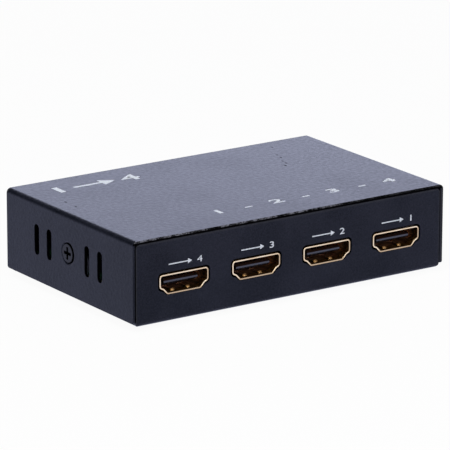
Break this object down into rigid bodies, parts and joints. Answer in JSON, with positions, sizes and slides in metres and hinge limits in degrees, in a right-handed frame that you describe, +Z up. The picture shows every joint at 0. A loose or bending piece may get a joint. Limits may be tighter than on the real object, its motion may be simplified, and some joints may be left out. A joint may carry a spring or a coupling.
{
  "type": "video splitter",
  "caption": "Flat folded-steel video splitter box with a row of gilt receptacles in front, an input and a power inlet behind, side vents and rubber feet.",
  "frame": {"origin": "on the table under the middle of the case", "axes": "+X along the row of outputs, outputs face -Y, +Z up"},
  "size_m": [0.0968, 0.0608, 0.024],
  "materials": {
    "case_coat": "matte",
    "screw_black": "satin",
    "foot_rubber": "matte",
    "plated_steel": "satin",
    "gilt": "polished",
    "receptacle_resin": "satin",
    "solder_mask": "satin",
    "inlet_plastic": "satin",
    "lamp_lens": "gloss",
    "tinned_lead": "satin",
    "chip_epoxy": "matte",
    "pad_silicone": "matte",
    "sink_aluminium": "satin",
    "ferrite": "matte",
    "can_aluminium": "satin",
    "base_plastic": "matte",
    "crystal_steel": "polished",
    "fuse_polymer": "satin",
    "chip_ceramic": "matte",
    "resistor_glaze": "satin"
  },
  "bodies": {
    "root": {"base_tray": "case_coat", "top_cover": "case_coat", "cover_screws": "screw_black", "rubber_feet": "foot_rubber", "board_standoffs": "plated_steel", "board_screws": "plated_steel", "circuit_board": "solder_mask", "output_shell_1": "gilt", "output_shell_2": "gilt", "output_shell_3": "gilt", "output_shell_4": "gilt", "output_tongue_1": "receptacle_resin", "output_tongue_2": "receptacle_resin", "output_tongue_3": "receptacle_resin", "output_tongue_4": "receptacle_resin", "output_contacts_1": "gilt", "output_contacts_2": "gilt", "output_contacts_3": "gilt", "output_contacts_4": "gilt", "input_shell": "gilt", "input_tongue": "receptacle_resin", "input_contacts": "gilt", "power_jack_housing": "inlet_plastic", "power_jack_pin": "tinned_lead", "power_jack_spring": "tinned_lead", "power_jack_switch": "tinned_lead", "power_lamp": "lamp_lens", "power_lamp_leads": "tinned_lead", "splitter_chip": "chip_epoxy", "splitter_chip_leads": "tinned_lead", "thermal_pad": "pad_silicone", "heat_sink": "sink_aluminium", "memory_chip": "chip_epoxy", "converter_chip": "chip_epoxy", "regulator": "chip_epoxy", "small_chip_leads": "tinned_lead", "inductor_core": "ferrite", "inductor_terminals": "tinned_lead", "capacitor_cans": "can_aluminium", "capacitor_bases": "base_plastic", "crystal_can": "crystal_steel", "rectifier_diode": "chip_epoxy", "port_fuses": "fuse_polymer", "surge_arrays": "chip_epoxy", "chip_capacitors": "chip_ceramic", "chip_resistors": "resistor_glaze"}
  },
  "joints": []
}
